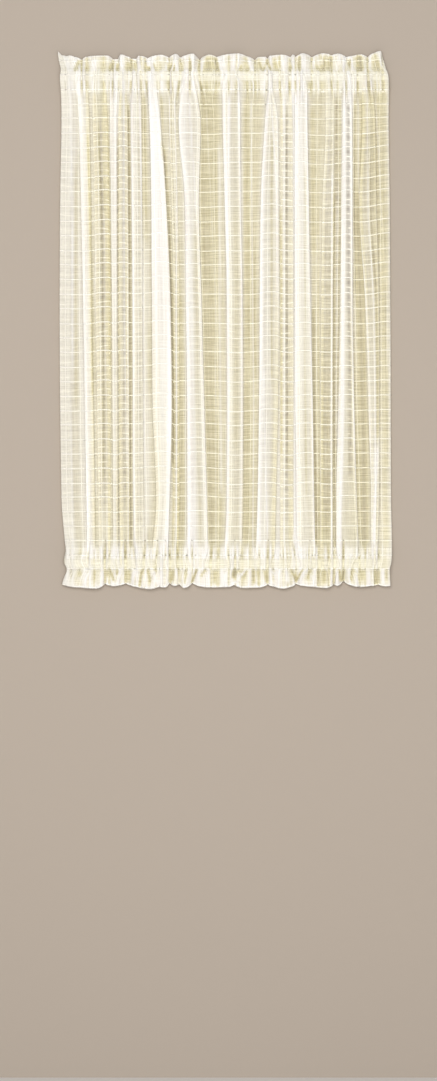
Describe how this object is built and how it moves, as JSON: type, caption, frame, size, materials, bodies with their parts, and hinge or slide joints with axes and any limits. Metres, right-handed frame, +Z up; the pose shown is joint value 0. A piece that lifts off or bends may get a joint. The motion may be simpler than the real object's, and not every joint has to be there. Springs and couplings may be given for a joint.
{
  "type": "door curtain panel with sash rods",
  "caption": "Sheer ivory windowpane-check panel gathered on flat sash rods at its top and bottom, with side hems, rod pockets and a ruffled heading beyond each rod.",
  "frame": {"origin": "on the door's face, level with the middle of the top rod and midway between its ends", "axes": "+X across the door, to the right as seen from the room; +Y into the door; +Z up"},
  "size_m": [0.6374, 0.0245, 1.0211],
  "materials": {
    "sheer_cloth": "sheer ivory voile with a thicker cord every 27.5 mm both ways",
    "rod_enamel": "white enamel"
  },
  "bodies": {
    "root": {"curtain_panel": "sheer_cloth", "top_rod": "rod_enamel", "bottom_rod": "rod_enamel"}
  },
  "joints": []
}
